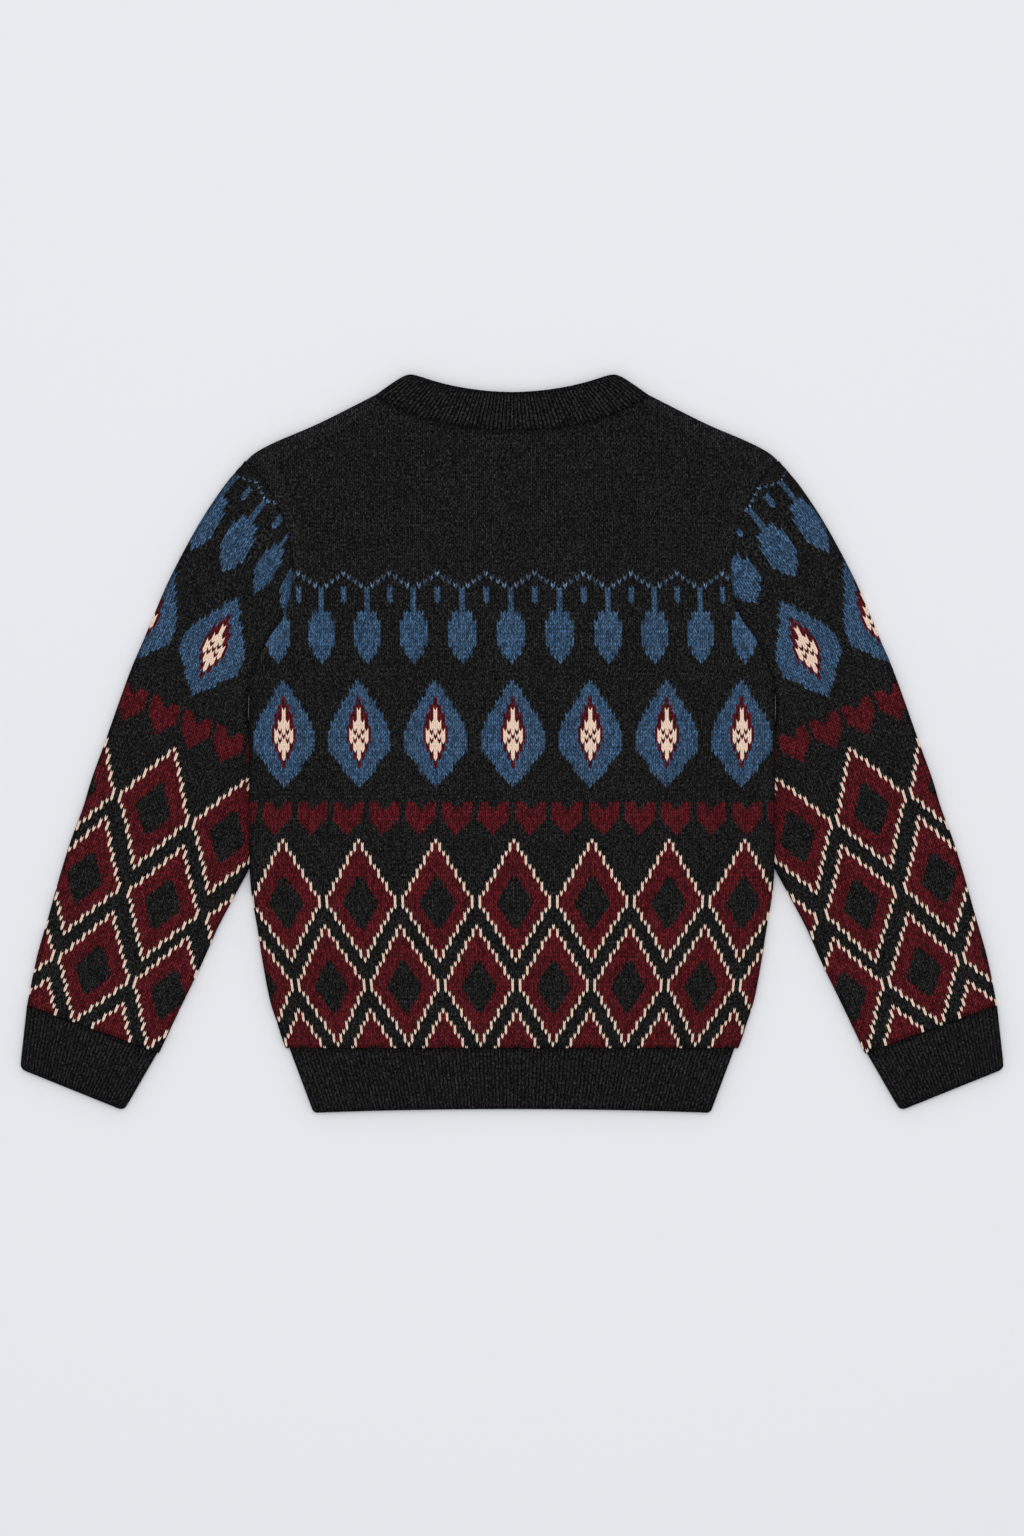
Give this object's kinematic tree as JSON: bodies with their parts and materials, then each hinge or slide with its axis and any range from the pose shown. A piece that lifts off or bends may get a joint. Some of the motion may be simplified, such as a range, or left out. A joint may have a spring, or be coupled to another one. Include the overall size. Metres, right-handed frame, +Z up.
{
  "type": "argyle sweater",
  "caption": "Child's long-sleeved crew-neck pullover in banded jacquard knit with ribbed neck, hem and cuffs, laid flat with its back up.",
  "frame": {"origin": "on the surface that the garment lies on, under the middle of its outline", "axes": "+Z up from the surface, +Y from the hem towards the neck, +X across the garment towards the right sleeve as it lies with its back up"},
  "size_m": [0.7388, 0.5539, 0.0118],
  "materials": {
    "patterned_knit": "matte woollen jacquard knit: charcoal ground with blue, burgundy and cream figures in bands",
    "black_ribbing": "matte charcoal single rib in the same yarn"
  },
  "bodies": {
    "root": {"back_panel": "patterned_knit", "front_panel": "patterned_knit", "sleeve_left": "patterned_knit", "sleeve_right": "patterned_knit", "cuff_left": "black_ribbing", "cuff_right": "black_ribbing", "hem_front": "black_ribbing", "hem_back": "black_ribbing", "neckband": "black_ribbing"}
  },
  "joints": []
}
